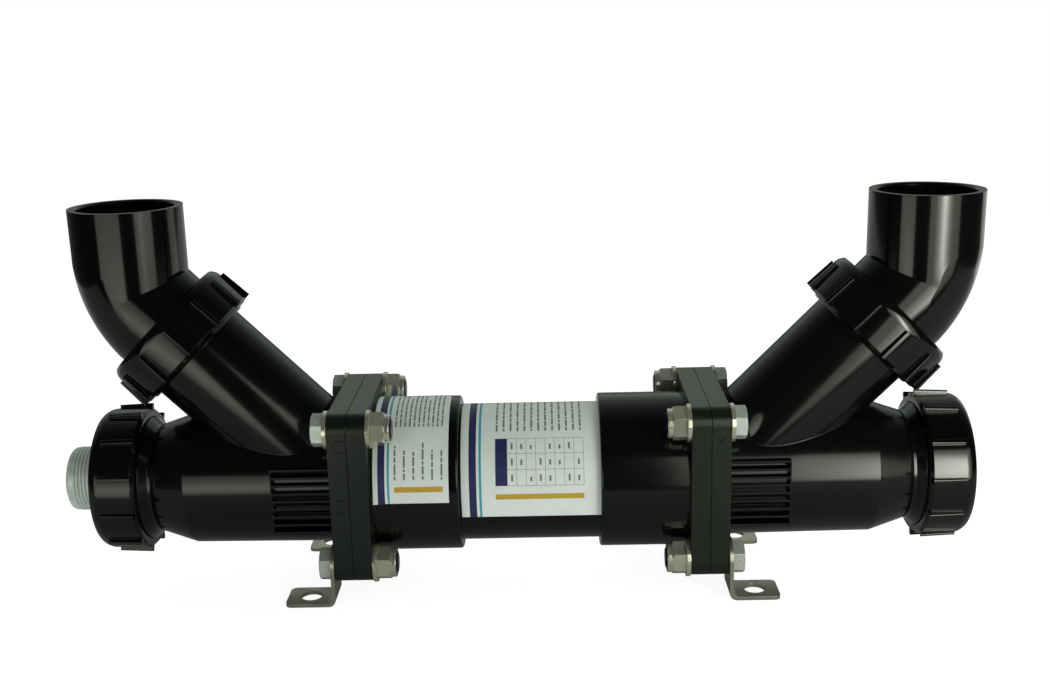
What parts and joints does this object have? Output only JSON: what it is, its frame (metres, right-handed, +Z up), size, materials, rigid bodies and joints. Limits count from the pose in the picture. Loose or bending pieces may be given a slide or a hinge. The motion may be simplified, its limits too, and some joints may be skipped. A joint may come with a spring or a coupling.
{
  "type": "in-line uv water steriliser",
  "caption": "In-line ultraviolet water steriliser: a flanged reactor tube between finned wye bodies with swivelling union elbows, end port nuts and bent strap feet.",
  "frame": {"origin": "on the floor, at the centre of the rectangle of foot holes, under the middle of the reactor tube", "axes": "+X along the reactor tube towards the blind end port, +Y to the rear, +Z up"},
  "size_m": [0.5884, 0.114, 0.2492],
  "materials": {
    "black_plastic": "moulded gloss black plastic",
    "black_rubber": "black rubber seal",
    "zinc_steel": "plain bright bolt steel",
    "stainless_steel": "warm grey stainless steel",
    "blue_nylon": "navy nylon",
    "stub_metal": "dull grey turned metal",
    "quartz_glass": "clear fused quartz",
    "lamp_glass": "clear lamp glass",
    "white_ceramic": "white ceramic",
    "brass": "plain brass"
  },
  "bodies": {
    "steriliser": {"reactor_tube": "black_plastic", "socket_flange_left": "black_plastic", "socket_flange_right": "black_plastic", "wye_left": "black_plastic", "wye_right": "black_plastic", "lamp_plug": "black_plastic", "blind_plug": "black_plastic", "flange_oring_left": "black_rubber", "branch_oring_left": "black_rubber", "end_oring_left": "black_rubber", "flange_bolts_left": "zinc_steel", "bolt_washers_left": "stainless_steel", "lock_nuts_left": "stainless_steel", "nylon_inserts_left": "blue_nylon", "foot_front_left": "stainless_steel", "foot_rear_left": "stainless_steel", "flange_oring_right": "black_rubber", "branch_oring_right": "black_rubber", "end_oring_right": "black_rubber", "flange_bolts_right": "zinc_steel", "bolt_washers_right": "stainless_steel", "lock_nuts_right": "stainless_steel", "nylon_inserts_right": "blue_nylon", "foot_front_right": "stainless_steel", "foot_rear_right": "stainless_steel", "lamp_stub": "stub_metal", "quartz_seal": "black_rubber", "quartz_cup": "black_rubber", "quartz_sleeve": "quartz_glass"},
    "elbow_left": {"elbow_left": "black_plastic"},
    "elbow_right": {"elbow_right": "black_plastic"},
    "branch_nut_left": {"branch_nut_left": "black_plastic"},
    "branch_nut_right": {"branch_nut_right": "black_plastic"},
    "end_nut_left": {"end_nut_left": "black_plastic"},
    "end_nut_right": {"end_nut_right": "black_plastic"},
    "lamp": {"uv_lamp": "lamp_glass", "lamp_base": "white_ceramic", "lamp_pins": "brass", "lamp_end_cap": "white_ceramic"}
  },
  "joints": [
    {"name": "elbow_swivel_left", "type": "hinge", "parent": "steriliser", "child": "elbow_left", "pos_m": [-0.1273, 0, 0.06906], "axis": [-0.7071, 0, 0.7071], "continuous": true},
    {"name": "elbow_swivel_right", "type": "hinge", "parent": "steriliser", "child": "elbow_right", "pos_m": [0.1273, 0, 0.06906], "axis": [0.7071, 0, 0.7071], "continuous": true},
    {"name": "branch_nut_turn_left", "type": "hinge", "parent": "steriliser", "child": "branch_nut_left", "pos_m": [-0.1273, 0, 0.06906], "axis": [-0.7071, 0, 0.7071], "continuous": true},
    {"name": "branch_nut_turn_right", "type": "hinge", "parent": "steriliser", "child": "branch_nut_right", "pos_m": [0.1273, 0, 0.06906], "axis": [0.7071, 0, 0.7071], "continuous": true},
    {"name": "end_nut_turn_left", "type": "hinge", "parent": "steriliser", "child": "end_nut_left", "pos_m": [-0.26, 0, 0.06906], "axis": [-1, 0, 0], "continuous": true},
    {"name": "end_nut_turn_right", "type": "hinge", "parent": "steriliser", "child": "end_nut_right", "pos_m": [0.26, 0, 0.06906], "axis": [1, 0, 0], "continuous": true},
    {"name": "lamp_withdraw", "type": "slide", "parent": "steriliser", "child": "lamp", "axis": [-1, 0, 0], "range_m": [0, 0.54]}
  ]
}
